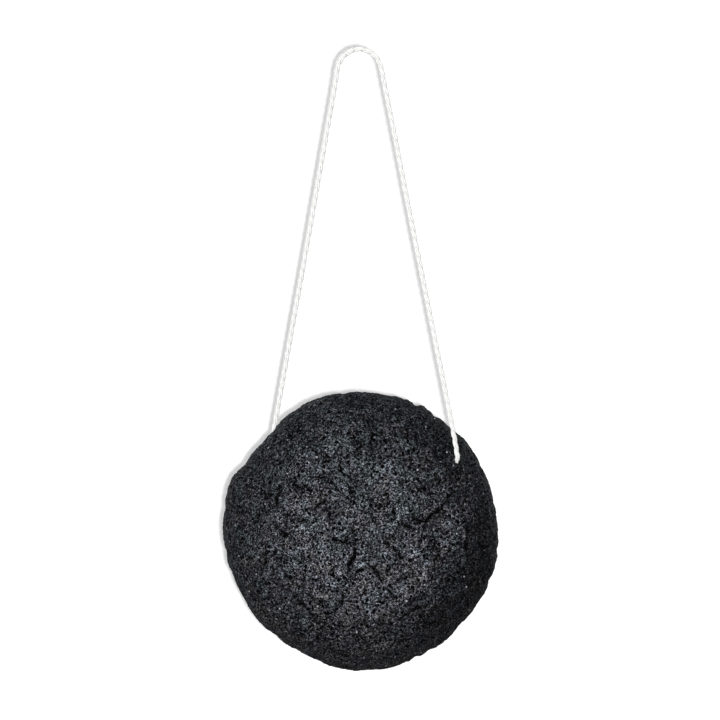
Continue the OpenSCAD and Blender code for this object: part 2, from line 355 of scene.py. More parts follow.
clear_selection()
bpy.ops.mesh.primitive_ico_sphere_add(subdivisions=7, radius=1, location=(0, 0, 0))
puff = bpy.context.object
puff.name = "foam_puff"
ball = np.empty(len(puff.data.vertices) * 3)
puff.data.vertices.foreach_get("co", ball)
ball = ball.reshape(-1, 3)
ball /= np.linalg.norm(ball, axis=1)[:, None]
round_share = np.minimum(np.hypot(ball[:, 0], ball[:, 2]), 1)
dome_y = -DOME * (1 - round_share**FULLNESS) ** (1 / FULLNESS)
beyond = np.clip((RADIUS * round_share - FLAT_R) / (RADIUS - FLAT_R), 0, 1)
back_y = BACK * np.sqrt(1 - beyond**2)
plain = np.column_stack([
    RADIUS * ball[:, 0], np.where(ball[:, 1] < 0, dome_y, back_y), RADIUS * ball[:, 2]])
aside = plain * [1, 0, 1] / np.maximum(RADIUS * round_share, 1e-9)[:, None]
shaped = plain + rim_rise(plain, RIM_SWELLS + RIM_NICKS)[:, None] * aside
shaped += relief(plain)[:, None] * outward(plain)
off_grip = np.hypot(shaped[:, 0] / MM - GRIP[0], shaped[:, 2] / MM - GRIP[1])
bulge = GRIP[2] * MM * felt(off_grip, GRIP[3]) * (ball[:, 1] < 0)
shaped += bulge[:, None] * GRIP_OUTWARD + PUFF_MIDDLE
puff.data.vertices.foreach_set("co", shaped.ravel())
puff.data.update()
print("puff's form:", len(puff.data.vertices), "points")

# %% [markdown]
# The string needs its way through the foam: a straight tunnel from the front right to the back
# left, a pocket in it for the knot, and at each end a mouth where the string turns up. The
# foam rocks on the string, so a mouth is a fan: small spheres along the string, turned about
# the tunnel up to the foam's two limits, and a voxel remesh that melts them into one form. It
# hugs the string, so the foam closes over its bend. The forms are taken out with boolean
# modifiers while the foam is still plain.

# %% The string's way through the foam
ROOM = 0.3 * MM
MOUTH_ROOM = 0.2 * MM
BORE_REACH = 26.8 * MM
POCKET_R = 1.95 * MM
POCKET_REACH = 2.7 * MM
FAN_VOXEL = 0.15 * MM
# The foam's two limits on the string and the places between that the fan is drawn at, in degrees
ROCK = (-8, -4, 0, 4, 8, 12)


def in_fan(points, degrees):
    """Points of the loop turned about the tunnel by degrees."""
    angle = math.radians(degrees)
    rise = points[:, 2] - TUNNEL_Z
    turned = points - rise[:, None] * math.sin(angle) * forward
    turned[:, 2] = TUNNEL_Z + rise * math.cos(angle)
    return turned


def apply_modifier(piece, kind, **settings):
    """Adds a modifier of that kind to piece and applies it."""
    clear_selection()
    piece.select_set(True)
    bpy.context.view_layer.objects.active = piece
    modifier = piece.modifiers.new(kind.lower(), kind)
    for name, value in settings.items():
        setattr(modifier, name, value)
    bpy.ops.object.modifier_apply(modifier=modifier.name)


def mouth_cutter(name, first, last):
    """Spheres along the string from route point first to last, over the whole rock, as one."""
    part = in_loop_plane(smooth_line(np.array(ROUTE[first:last + 1]) * MM, 0.5 * MM))
    spots = np.vstack([in_fan(part, degrees) for degrees in ROCK])
    clear_selection()
    bpy.ops.mesh.primitive_ico_sphere_add(subdivisions=3, radius=STRING_D / 2 + MOUTH_ROOM)
    cutter = bpy.context.object
    cutter.name = name
    ball = np.array([v.co for v in cutter.data.vertices])
    sides = np.array([f.vertices[:] for f in cutter.data.polygons])
    copies = np.arange(len(spots))[:, None, None] * len(ball)
    cutter.data.clear_geometry()
    corners = (spots[:, None] + ball).reshape(-1, 3)
    faces = (copies + sides).reshape(-1, 3)
    cutter.data.from_pydata(corners.tolist(), [], faces.tolist())
    apply_modifier(cutter, "REMESH", mode="VOXEL", voxel_size=FAN_VOXEL)
    return cutter


def bore_cutter(name, start, end, radius):
    """Cylinder along the tunnel between two places sideways in the loop's plane."""
    clear_selection()
    bpy.ops.mesh.primitive_cylinder_add(
        vertices=32, radius=radius, depth=end - start,
        location=tuple((start + end) / 2 * SIDEWAYS + TUNNEL_Z * UP),
        rotation=(0, math.radians(90), -LOOP_TURN),
    )
    cutter = bpy.context.object
    cutter.name = name
    return cutter


def cut(piece, cutter):
    """Takes cutter out of piece with a boolean modifier and deletes it."""
    apply_modifier(piece, "BOOLEAN", operation="DIFFERENCE", solver="EXACT", object=cutter)
    bpy.data.objects.remove(cutter)


cut(puff, bore_cutter("bore", -BORE_REACH, BORE_REACH, STRING_D / 2 + ROOM))
cut(puff, bore_cutter("pocket", KNOT_PLACE - POCKET_REACH, KNOT_PLACE + POCKET_REACH, POCKET_R))
cut(puff, mouth_cutter("front_mouth", 3, 8))
cut(puff, mouth_cutter("back_mouth", 27, 33))
print("puff with its tunnel:", len(puff.data.polygons), "faces")

# %% [markdown]
# Konjac foam is full of pores under a millimetre wide, and they are what the eye sees. They
# have to be real hollows, so the surface needs points about a quarter of a millimetre apart. A
# voxel remesh gives that all over, also round the mouths, where a subdivided mesh is uneven.

# %% An even, fine surface
VOXEL = 0.23 * MM
apply_modifier(puff, "REMESH", mode="VOXEL", voxel_size=VOXEL)
bpy.ops.object.shade_smooth()
print("even puff:", len(puff.data.polygons), "faces")


def read_points(piece):
    """Corners and unit normals of a piece, as arrays."""
    count = len(piece.data.vertices)
    points = np.empty(count * 3)
    normals = np.empty(count * 3)
    piece.data.vertices.foreach_get("co", points)
    piece.data.vertex_normals.foreach_get("vector", normals)
    return points.reshape(-1, 3), normals.reshape(-1, 3)


def write_points(piece, points):
    """Puts the corners of a piece at points."""
    piece.data.vertices.foreach_set("co", points.ravel())
    piece.data.update()


# %% [markdown]
# Only the outer skin is lumpy and creased. The walls of the tunnel stay smooth, and so does
# the foam right beside the string, or it would poke through it. So each point first learns how
# close to the skin it lies and how far from the string.

# %% Where the skin is
def smooth_step(value, low, high):
    """0 up to low, 1 from high, and an S curve between."""
    share = np.clip((value - low) / (high - low), 0, 1)
    return share * share * (3 - 2 * share)


# The skin starts and is full at these shares of the way from the puff's middle to its outside
SKIN_STARTS = 0.93
SKIN_FULL = 0.975
# Foam this near to the string stays smooth, and past the second distance it is fully lumpy
STRING_TOUCH = 1.1 * MM
STRING_FREE = 3.2 * MM
points, normals = read_points(puff)
local = points - PUFF_MIDDLE
rise = rim_rise(local, RIM_SWELLS + RIM_NICKS)
plain = local - relief(local)[:, None] * outward(local)
ring_true = np.hypot(plain[:, 0], plain[:, 2]) - rise
in_dome = (np.clip(ring_true / RADIUS, 0, 2) ** FULLNESS
           + np.clip(-plain[:, 1] / DOME, 0, 2) ** FULLNESS) ** (1 / FULLNESS)
in_back = np.hypot(np.clip((ring_true - FLAT_R) / (RADIUS - FLAT_R), 0, 2), plain[:, 1] / BACK)
skin = smooth_step(np.where(local[:, 1] < 0, in_dome, in_back), SKIN_STARTS, SKIN_FULL)

near_string = np.full(len(points), 1.0)
for mouth in (slice(3, 10), slice(26, 34)):
    part = in_loop_plane(smooth_line(np.array(ROUTE[mouth]) * MM, 0.6 * MM))
    for degrees in (ROCK[0], 0, ROCK[-1]):
        for spot in in_fan(part, degrees):
            near_string = np.minimum(near_string, np.linalg.norm(points - spot, axis=1))
clear_of_string = smooth_step(near_string, STRING_TOUCH, STRING_FREE)
print("skin:", round(float(skin.mean()) * 100), "% of the points")

# %% [markdown]
# On top of the broad relief come ripples, a fine curly grain and thin wrinkles. All are sums of
# soft waves in random directions, because such a sum has no pattern that the eye could find.
# A wrinkle runs where a soft wave passes through zero, so the wave's height there tells how far
# away it is. The points are first moved a little by other waves, which makes the line wander.

# %% Ripples and wrinkles
dice = np.random.default_rng(7)
RIPPLE_HEIGHT = 0.2 * MM
CURL_HEIGHT = 0.08 * MM
WORM_HEIGHT = 0.05 * MM
WOBBLE = 0.3 * MM
WRINKLE_DEPTH = 0.25 * MM
WRINKLE_WIDTH = 0.35
# Wave length of the wrinkles in mm, and the height of another wave above which they show
WRINKLES = ((9, 0.1), (5, 0.3))
# A distance in mm that stands for out of reach
FAR = 9.0


def soft_waves(points, wavelength, count=28):
    """Smooth random height between about -1 and 1 over points, in waves of that length."""
    heading = dice.normal(size=(count, 3))
    heading /= np.linalg.norm(heading, axis=1)[:, None]
    pace = 2 * math.pi / (wavelength * dice.uniform(0.7, 1.4, count))
    phase = dice.uniform(0, 2 * math.pi, count)
    height = np.zeros(len(points))
    for k in range(count):
        height += np.sin(points @ (heading[k] * pace[k]) + phase[k])
    return height / math.sqrt(count)


to_rim = smooth_step(ring_true / RADIUS, 0.75, 0.97)
ripples = soft_waves(points, 6 * MM)
height = RIPPLE_HEIGHT * (1 - 0.7 * to_rim) * ripples
worms = soft_waves(points, 1.25 * MM, 60)
curls = soft_waves(points, 2.6 * MM, 40)
wobble = np.column_stack([WOBBLE * soft_waves(points, 2 * MM) for _ in range(3)])
wrinkle_gap = np.full(len(points), FAR)
for length, low in WRINKLES:
    away = np.abs(soft_waves(points + wobble, length * MM)) * length / (2 * math.pi)
    patchy = smooth_step(soft_waves(points, 1.3 * length * MM), low, low + 0.8)
    wrinkle_gap = np.minimum(wrinkle_gap, away + 1.5 * (1 - patchy))
height += (WORM_HEIGHT * worms + CURL_HEIGHT * curls
           - WRINKLE_DEPTH * felt(wrinkle_gap, WRINKLE_WIDTH))
print("wrinkles: from", round(height.min() / MM, 2), "to", round(height.max() / MM, 2), "mm")

# %% [markdown]
# Drying also folds creases into the dome, with swollen lips beside them. They are drawn as lines,
# where the photo shows the main ones, and they wander with the same waves as the wrinkles. Each
# is deepest in its middle and runs out at both ends, as a fold does. Two marks are kept for the
# shade that the finish paints into them: how deep in a crease a point lies, and how far it is
# from the line at its bottom.

# %% Creases
# Strength, then points sideways and up from the dome's middle in mm
CREASES = [
    (0.78, [(-14.5, 13.5), (-14, 15.6), (-12, 16.3), (-8.4, 15.2), (-6.6, 13.4)]),
    (0.78, [(-7, 16), (-4.4, 15), (-2.6, 12.4), (-1.6, 10.4), (-2.6, 8.8), (-4.2, 9.6)]),
    (0.845, [(-20.2, 15.2), (-18.8, 14), (-17, 13.6), (-15, 13.4)]),
    (0.91, [(-22, 13.5), (-23.4, 11.5), (-24, 9), (-23.5, 7)]),
    (0.78, [(-14.2, 7.6), (-12.4, 7.5), (-11.4, 9), (-9.4, 10)]),
    (0.91, [(-10.6, 7.7), (-9.2, 6.6), (-8.6, 5), (-8.4, 3)]),
    (0.91, [(-18.4, 4.4), (-15.4, 3.8)]),
    (0.845, [(-24.6, 3.4), (-21.6, -0.2), (-20.2, 0.2), (-18.8, 1.4)]),
    (1.1, [(-9.2, -0.4), (-6.6, -1.5), (-5, -1.8), (-3, -1.2)]),
    (0.91, [(-3.4, 2.6), (-1.8, 0.4)]),
    (1.1, [(-0.8, -3), (-1.8, -5), (-2.6, -7), (-3.4, -9), (-3.7, -12.2)]),
    (0.91, [(0.2, -6.5), (1.8, -8), (3.4, -9.4), (5, -11.2), (6, -14.6)]),
    (0.91, [(6.3, -0.6), (7.5, -2.8), (9.8, -4), (11, -6), (12, -7.6)]),
    (0.78, [(3.4, 4.6), (8.4, 5.6), (11.4, 5.4)]),
    (1.1, [(12.4, 5), (16, 4.1), (18.2, 3.8), (20.4, 5.6), (22.6, 7.2), (25.2, 10.8)]),
    (0.78, [(11.4, 3.6), (14, 1.8), (16.8, 0.8)]),
    (0.78, [(19.4, 3.4), (20.6, 0), (21.2, -3), (22.2, -6), (23.6, -8.4), (23.6, -10.4)]),
    (0.78, [(0, 33.5), (1.8, 32), (2.7, 30), (3, 28.4)]),
    (1.1, [(6, 28.4), (3.8, 28.1), (3, 26.4), (2.8, 24.4)]),
    (0.52, [(-3, 29.3), (-1.4, 25.6), (-0.5, 23.5), (0.8, 22.3), (2.3, 21.7)]),
    (0.715, [(-16.5, 23.8), (-12.4, 23.4), (-10.8, 22.2), (-9.4, 20.7), (-7, 22.5)]),
    (0.91, [(-5.8, 21.2), (-5.8, 19), (-5, 17)]),
    (0.78, [(5, 21.8), (5.2, 20.6), (6.8, 21.5), (8.6, 22.5), (9.8, 25)]),
    (0.78, [(3.8, 20), (2.6, 17.6)]),
    (0.78, [(13, 31), (13.3, 28.5), (13.8, 26)]),
    (0.78, [(15.3, 29.5), (16, 27.5), (16.3, 24.4)]),
    (0.78, [(20.8, 23.5), (22, 21.8), (23.6, 20.7)]),
    (0.91, [(24.6, 17.2), (24, 15.4), (22, 13.8)]),
    (0.78, [(15, 12.2), (18, 13.2), (18.2, 11.8)]),
    (0.78, [(3, 10.6), (4, 8.4), (6.6, 7.8), (8, 9.5), (7, 11.5), (5, 11)]),
    (0.65, [(16.5, 10.4), (15.4, 9), (16, 7.4)]),
    (0.715, [(-6, -7.8), (-7.5, -9.3), (-8.6, -11), (-8.4, -12.7)]),
    (0.65, [(-6.1, -12), (-5.8, -13.5), (-4.8, -14.8)]),
    (0.78, [(-25, -6.5), (-23, -7), (-22.2, -8.6)]),
    (0.91, [(-30, -6), (-28.6, -8.4), (-27.4, -8.8), (-26.7, -6), (-26.8, -3)]),
    (0.65, [(-25.6, -18), (-23.8, -20.2)]),
    (0.78, [(-20, -18), (-17, -19.5), (-15, -21.5), (-13, -24), (-10.8, -25.6)]),
    (0.78, [(-13.2, -19.4), (-10.4, -19.2), (-9.4, -20.2)]),
    (0.65, [(-9.6, -23.6), (-8, -22), (-6.4, -21), (-5.5, -19)]),
    (1.1, [(6.8, -15.2), (10, -17.9)]),
    (0.91, [(8, -8.2), (8, -11)]),
    (0.91, [(8.4, -24.6), (11, -24), (14, -22), (17, -20.5), (20.4, -20.2)]),
    (0.65, [(14.8, -26.2), (17.2, -23.4)]),
    (0.78, [(13, -20.4), (16.2, -17.8), (18.6, -17.3)]),
    (0.78, [(-31, -14), (-28, -18)]),
    (1.04, [(30.4, 3.4), (30.2, -1), (30, -4), (30.3, -7), (29.4, -9.4)]),
]
CREASE_DEPTH = 0.75 * MM
LIP_HEIGHT = 0.25 * MM


def distance_to_line(flat, line):
    """How far each flat point lies from a drawn line, and how far along it, from 0 to 1."""
    line = smooth_line(np.array(line) * MM, 0.5 * MM)
    best = np.full(len(flat), 1.0)
    along = np.zeros(len(flat))
    for k, spot in enumerate(line):
        away = np.hypot(flat[:, 0] - spot[0], flat[:, 1] - spot[1])
        closer = away < best
        best[closer] = away[closer]
        along[closer] = k / (len(line) - 1)
    return best, along


on_dome = smooth_step(-local[:, 1], 0, 4 * MM)
flat = local[:, [0, 2]] + wobble[:, :2]
groove = np.zeros(len(points))
line_gap = np.full(len(points), FAR)
for strength, line in CREASES:
    away, along = distance_to_line(flat, line)
    fade = np.sin(np.pi * np.clip(0.12 + 0.76 * along, 0, 1))
    wide = (0.22 + 0.13 * strength * fade) * MM
    pressed = felt(away, wide)
    lips = felt(away - 2.4 * wide, 1.5 * wide)
    height += on_dome * fade * strength * (LIP_HEIGHT * lips - CREASE_DEPTH * pressed)
    groove = np.maximum(groove, on_dome * fade * min(1, strength) * felt(away, 2.3 * wide))
    line_gap = np.minimum(
        line_gap, away / MM + 0.25 * (1 - fade * strength) + FAR * (1 - on_dome))
print("creases:", len(CREASES), "on the dome")

# %% [markdown]
# Seen from the front, the dome has soft light and dark places. They are placed and sized one
# by one.
# Each is painted light or shade, lighter where light fell on the dome and darker where it
# missed, and raises or sinks the skin a little. Its tone is kept, because the finish takes its
# lightness from it.

# %% Places of painted light and shade
# Middle sideways and up in mm, then tone of painted light or shade, length and width in mm, and
# heading in degrees
LIT_AND_SHADED_PLACES = [
    (-19.5, 17, 0.3, 4.5, 3, 0), (-18.5, 8.5, 0.35, 4, 2.2, 0), (-18.2, 13.2, -0.3, 1.6, 1, 0),
    (-18, 1.2, 0.5, 4, 2, 0), (-18.5, -4, 0.35, 3.5, 1.8, 0), (-10.5, -8.2, 0.4, 2.6, 2.4, 0),
    (-8.5, -12.5, 0.45, 4, 3, 60), (-8.5, 25, 0.45, 3.6, 3, 0), (-15.5, 21.8, 0.3, 2.4, 2, 0),
    (-3.6, 24.6, 0.35, 2, 3, 0), (-0.4, 24, -0.15, 1.2, 2, 0), (8.3, 20, 0.35, 5, 2.4, 80),
    (5.5, 13.5, -0.2, 3.5, 3, 0), (5.4, 9.6, 0.25, 1.8, 1.8, 0),
    (7.6, 7.4, 0.25, 2, 1.6, 0), (17, 8.3, 0.35, 2.2, 1.6, 0),
    (22.5, 12.5, 0.3, 2, 1.6, 0), (26, 4, 0.4, 4, 2.4, 10), (23.4, -5, 0.5, 4.4, 1.8, 100),
    (14.2, -4.6, 0.4, 3.4, 2, -30), (17.6, -10.5, 0.45, 5.5, 1.9, -72),
    (0.5, -9.4, 0.5, 1.8, 1.8, 0), (0.6, -13.5, 0.4, 3.2, 2, 90), (4.4, -20.5, 0.45, 3.8, 2.2, 80),
    (12, -17, 0.5, 2.2, 1.8, 0), (-12, -21.5, 0.25, 3, 1.8, -35), (-5.4, 0.8, 0.3, 2.4, 2, 0),
    (-11, 3.6, 0.3, 1.6, 1.4, 0), (-2.4, -2.2, -0.75, 1.9, 1.6, 0), (-3, -8, -0.3, 3, 1.1, 85),
    (-9.5, 16.5, -0.45, 2.4, 2, 0), (-9.5, 12, -0.3, 2.4, 1.6, 0), (-12, 7.8, -0.35, 2.2, 1.8, 0),
    (-6, 5.2, -0.3, 2.4, 1.6, 0), (17, 4.2, -0.7, 4.8, 1.3, 15), (23, 8.2, -0.45, 3.4, 1.4, 30),
    (20.4, -1, -0.4, 4, 1.3, 95), (20.6, -8, -0.4, 4.5, 1.2, 95), (34, 4, -0.5, 5, 4, 60),
    (35, -7, -0.7, 8, 4.5, 90), (30, -17, -0.65, 8, 5, 45), (21, -26, -0.55, 9, 5, 25),
    (22, 27, -0.5, 6, 5, -40), (27, 20, -0.4, 4, 5, -60), (26, -12, -0.5, 4, 3, 0),
    (-22.5, -12.5, -0.35, 3, 2.6, 0), (-28, 6, -0.25, 7, 3, 90), (4, -26, -0.3, 4, 2.4, 0),
    (-32, -4, 0.25, 8, 2.5, 90),
]
TONE_HEIGHT = 0.25 * MM

# Painted shade in the wrinkles, a random tone, and the listed places of painted light and shade
tone = -0.35 * felt(wrinkle_gap, 0.4) + 0.1 * ripples + 0.1 * soft_waves(points, 3.4 * MM, 40)
for across, up, gain, length, width, degrees in LIT_AND_SHADED_PLACES:
    turn = math.radians(degrees)
    right = flat[:, 0] / MM - across
    above = flat[:, 1] / MM - up
    along = right * math.cos(turn) + above * math.sin(turn)
    beside = above * math.cos(turn) - right * math.sin(turn)
    tone += on_dome * gain * felt(np.hypot(along / length, beside / width), 1)
height += TONE_HEIGHT * on_dome * tone
points += normals * (height * skin * clear_of_string)[:, None]
write_points(puff, points)
print("skin: from", round(height.min() / MM, 2), "to", round(height.max() / MM, 2), "mm")

# %% [markdown]
# The pores are bubbles that the foam was full of when it set, so they are made that way: each
# little cube of space gets one bubble at a random place and of a random size, and the skin is
# hollowed wherever it meets one. Bubbles in space cut the skin in large and small rings, which
# is just how cut or burst foam looks. Two sizes of bubble are used.

# %% Pores
def fractions(cells, salt):
    """Steady random numbers from 0 to 1 for whole-numbered cells."""
    mixed = cells @ np.array([127.1, 311.7, 74.7]) + salt * 19.19
    return np.abs(np.sin(mixed) * 43758.5453) % 1


def bubbles(points, spacing, smallest, largest, salt):
    """For each point the depth of the hollow that its bubble leaves, and its gap to the nearest
    bubble's wall, both in metres. The gap is below zero inside."""
    home = np.floor(points / spacing)
    hollow = np.zeros(len(points))
    gap = np.full(len(points), 1.0)
    for shift in np.ndindex(3, 3, 3):
        cell = home + np.array(shift) - 1
        middle = (cell + np.column_stack([fractions(cell, salt + k) for k in (1, 2, 3)])) * spacing
        size = smallest + (largest - smallest) * fractions(cell, salt + 4) ** 1.2
        away = np.linalg.norm(points - middle, axis=1)
        gap = np.minimum(gap, away - size)
        hollow = np.maximum(hollow, np.sqrt(np.clip(size**2 - away**2, 0, None)))
    return hollow, gap


# Room for one bubble, then its smallest and its largest radius
LARGE_BUBBLES = (1.5 * MM, 0.25 * MM, 0.56 * MM)
SMALL_BUBBLES = (0.8 * MM, 0.14 * MM, 0.33 * MM)
PORE_LIP = 0.05 * MM
points, normals = read_points(puff)
large, large_gap = bubbles(points, *LARGE_BUBBLES, 0)
small, small_gap = bubbles(points, *SMALL_BUBBLES, 50)
gap = np.minimum(large_gap, small_gap)
lip = felt(large_gap / MM - 0.12, 0.12)
depth = np.maximum(1.3 * large, 1.1 * small) - PORE_LIP * lip
points -= normals * (depth * skin)[:, None]
write_points(puff, points)
# What the finish needs to know at each point of the mesh to paint its light and shade
marks = {
    "gap": np.where(skin > 0.5, gap / MM, 0.5),
    "large_gap": np.where(skin > 0.5, large_gap / MM, 0.5),
    "crease": groove * skin,
    "line_gap": np.minimum(line_gap + FAR * (1 - skin), 2),
    # Where the raised grain is painted lighter
    "relief": np.clip(0.5 + 0.22 * worms + 0.16 * curls, 0, 1),
    # The dome's painted light and shade, with a random tone
    "tone": np.exp(tone),
    # Where painted shade darkens the skin towards the rim
    "rim": smooth_step(ring_true / RADIUS, 0.3, 0.95),
}
for name, values in marks.items():
    puff.data.attributes.new(name, "FLOAT", "POINT").data.foreach_set("value", values)
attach(puff, "puff")
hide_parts("sponge")
print("pores cover", round(float((gap < 0).mean()) * 100), "% of the skin")

# %% [markdown]
# Materials come next. Two helpers serve all of them: one turns a hex colour, as a paint
# program shows it, into the linear numbers that a shader works with, and one adds a node with
# its settings and links.

# %% Material helpers
def to_linear(hex_colour):
    """Linear RGBA of an sRGB hex colour such as #3c3d42."""
    parts = [int(hex_colour[i:i + 2], 16) / 255 for i in (1, 3, 5)]
    linear = [p / 12.92 if p <= 0.04045 else ((p + 0.055) / 1.055) ** 2.4 for p in parts]
    return (*linear, 1)


def add_node(tree, kind, inputs=None, **settings):
    """Adds a node of that kind. An input is a value or another node's output to link."""
    node = tree.nodes.new(kind)
    for name, value in settings.items():
        setattr(node, name, value)
    for name, value in (inputs or {}).items():
        if isinstance(value, bpy.types.NodeSocket):
            tree.links.new(value, node.inputs[name])
        else:
            node.inputs[name].default_value = value
    return node


def new_material(name):
    """An empty node material: its tree and its output node."""
    material = bpy.data.materials.new(name)
    material.use_nodes = True
    material.node_tree.nodes.clear()
    output = add_node(material.node_tree, "ShaderNodeOutputMaterial")
    return material, material.node_tree, output


# %% [markdown]
# Charcoal konjac foam is glucomannan, a plant starch, set with charcoal powder in it and dried.
# It is matt and nearly black. Its walls are thin and crinkled, so they catch light unevenly, and
# that uneven light is painted into the colour: a mottling of 0.36 mm, lighter where the curly
# grain of the mesh is raised, a painted highlight on the lips of the larger pores, and thin
# furrows of painted shade. Clumps about 3 mm wide, with darker seams, keep it from looking even
# at arm's length.

# %% The foam's grain, painted light and shade
MOTTLE_SIZE = 0.36 * MM
# Furrows of painted shade: size in mm, how twisted they are, and how dark
FURROWS = ((1.3, 2.0, 0.072), (0.8, 1.5, 0.048))
CLUMP_SIZE = 3.2 * MM
foam, tree, output = new_material("charcoal konjac foam")
place = add_node(tree, "ShaderNodeTexCoord").outputs["Object"]
mark = {
    name: add_node(tree, "ShaderNodeAttribute", attribute_name=name).outputs["Fac"]
    for name in marks
}
mottle = add_node(tree, "ShaderNodeTexNoise", {
    "Vector": place, "Scale": 1 / MOTTLE_SIZE, "Detail": 0.0, "Distortion": 1.0,
}).outputs["Fac"]
# Painted highlight: the lips of the larger pores are lighter
lips = add_node(tree, "ShaderNodeValToRGB", {"Fac": mark["large_gap"]})
lips.color_ramp.elements[0].position = 0.02
lips.color_ramp.elements[1].position = 0.11
lips.color_ramp.elements.new(0.3).color = (0, 0, 0, 1)
# Each adds painted light: the raised curly grain of the mesh, the mottling and the lips' highlight
grain_light_and_shade = 0.026
for part, share in ((mark["relief"], 0.16), (mottle, 0.85), (lips.outputs["Color"], 0.06)):
    grain_light_and_shade = add_node(tree, "ShaderNodeMath", {
        0: part, 1: share, 2: grain_light_and_shade,
    }, operation="MULTIPLY_ADD").outputs[0]
# A furrow of painted shade runs where a twisted noise passes its middle value
for size, twist, dark in FURROWS:
    wave = add_node(tree, "ShaderNodeTexNoise", {
        "Vector": place, "Scale": 1 / (size * MM), "Detail": 0.0, "Distortion": twist,
    }).outputs["Fac"]
    furrow = add_node(tree, "ShaderNodeMath", {
        0: wave, 1: 0.5, 2: 0.05,
    }, operation="COMPARE").outputs[0]
    grain_light_and_shade = add_node(tree, "ShaderNodeMath", {
        0: furrow, 1: -dark, 2: grain_light_and_shade,
    }, operation="MULTIPLY_ADD").outputs[0]
# The clumps are cells, squeezed out of shape by a slower noise
squeeze = add_node(tree, "ShaderNodeTexNoise", {
    "Vector": place, "Scale": 1 / (1.6 * MM), "Detail": 2.0,
}).outputs["Color"]
squeezed = add_node(tree, "ShaderNodeVectorMath", {
    0: squeeze, 1: (2 * MM, 2 * MM, 2 * MM), 2: place,
}, operation="MULTIPLY_ADD").outputs["Vector"]
seams = add_node(tree, "ShaderNodeTexVoronoi", {
    "Vector": squeezed, "Scale": 1 / CLUMP_SIZE, "Randomness": 1.0,
}, feature="DISTANCE_TO_EDGE").outputs["Distance"]
seams = add_node(tree, "ShaderNodeMapRange", {
    "Value": seams, "From Min": 0.0, "From Max": 0.16, "To Min": -0.06, "To Max": 0.0,
}).outputs["Result"]
grain_light_and_shade = add_node(tree, "ShaderNodeMath", {0: seams, 1: grain_light_and_shade}, operation="ADD").outputs[0]
print("the foam's grain:", len(tree.nodes), "nodes")

# %% [markdown]
# The grain, with its painted light and shade, picks a grey, from the nearly black of the deepest
# furrows to the grey of an edge that catches light. Charcoal isn't quite neutral: patches of it
# lean to green, blue, violet or brown, more to blue above and less below. Raised places are
# painted lighter, the dome's places of light and shade are painted in, and painted shade darkens
# the skin towards the rim.

# %% The foam's colour
WALL_TONES = (
    (0.37, "#0c0c0e"), (0.45, "#2e2e30"), (0.52, "#4e4f51"), (0.60, "#6d6f71"),
    (0.70, "#a8aaad"),
)
TINTS = (
    (0.38, "#eefaff"), (0.46, "#ecf3ff"), (0.54, "#f4f0fb"), (0.62, "#fbf7fa"),
    (0.70, "#fffbfa"),
)
PATCH_SIZE = 5 * MM
# How much painted shade darkens the skin at the rim
RIM_PAINTED_SHADE = 0.56
walls = add_node(tree, "ShaderNodeValToRGB", {"Fac": grain_light_and_shade})
patches = add_node(tree, "ShaderNodeTexNoise", {
    "Vector": place, "Scale": 1 / PATCH_SIZE, "Detail": 3.0, "Roughness": 0.6,
}).outputs["Fac"]
upwards = add_node(tree, "ShaderNodeSeparateXYZ", {"Vector": place}).outputs["Z"]
lean = add_node(tree, "ShaderNodeMapRange", {
    "Value": upwards, "From Min": -178 * MM, "From Max": -98 * MM, "To Min": 0.09, "To Max": -0.09,
}).outputs["Result"]
patches = add_node(tree, "ShaderNodeMath", {0: patches, 1: lean}, operation="ADD").outputs[0]
tints = add_node(tree, "ShaderNodeValToRGB", {"Fac": patches})
for ramp, stops in ((walls.color_ramp, WALL_TONES), (tints.color_ramp, TINTS)):
    for position, colour in stops:
        ramp.elements.new(position).color = to_linear(colour)
    # The two stops that a new ramp comes with go
    ramp.elements.remove(ramp.elements[0])
    ramp.elements.remove(ramp.elements[-1])
tinted = add_node(tree, "ShaderNodeMix", {
    "Factor": 1.0, "A": walls.outputs["Color"], "B": tints.outputs["Color"],
}, data_type="RGBA", blend_type="MULTIPLY").outputs["Result"]
# Painted shade that deepens towards the rim, times the dome's painted light, shade and tone
rim_shade_and_tone = add_node(tree, "ShaderNodeMath", {
    0: mark["rim"], 1: -RIM_PAINTED_SHADE, 2: 1.0,
}, operation="MULTIPLY_ADD").outputs[0]
rim_shade_and_tone = add_node(tree, "ShaderNodeMath", {
    0: rim_shade_and_tone, 1: mark["tone"],
}, operation="MULTIPLY").outputs[0]
toned = add_node(tree, "ShaderNodeVectorMath", {0: tinted, "Scale": rim_shade_and_tone}, operation="SCALE")
print("the foam's colour:", len(WALL_TONES), "greys and", len(TINTS), "tints")

# %% [markdown]
# Hardly any light gets into a hollow. So the floors of the pores are nearly black, and so are
# the cracks at the bottom of the creases and the tiny pits between the pores, which are too
# small for the mesh. Each darkens where its own distance gets short.

# %% Pores, pits and cracks
HOLLOW = to_linear("#040404")
PIT_CELL = 1.05 * MM
CREASE_DARKER = 0.65
cells = add_node(tree, "ShaderNodeTexVoronoi", {
    "Vector": place, "Scale": 1 / PIT_CELL, "Randomness": 1.0,
})
pit_size = add_node(tree, "ShaderNodeSeparateColor", {"Color": cells.outputs["Color"]})
pit_gap = add_node(tree, "ShaderNodeMath", {
    0: pit_size.outputs["Red"], 1: -0.4, 2: cells.outputs["Distance"],
}, operation="MULTIPLY_ADD").outputs[0]
shaded = 0.0
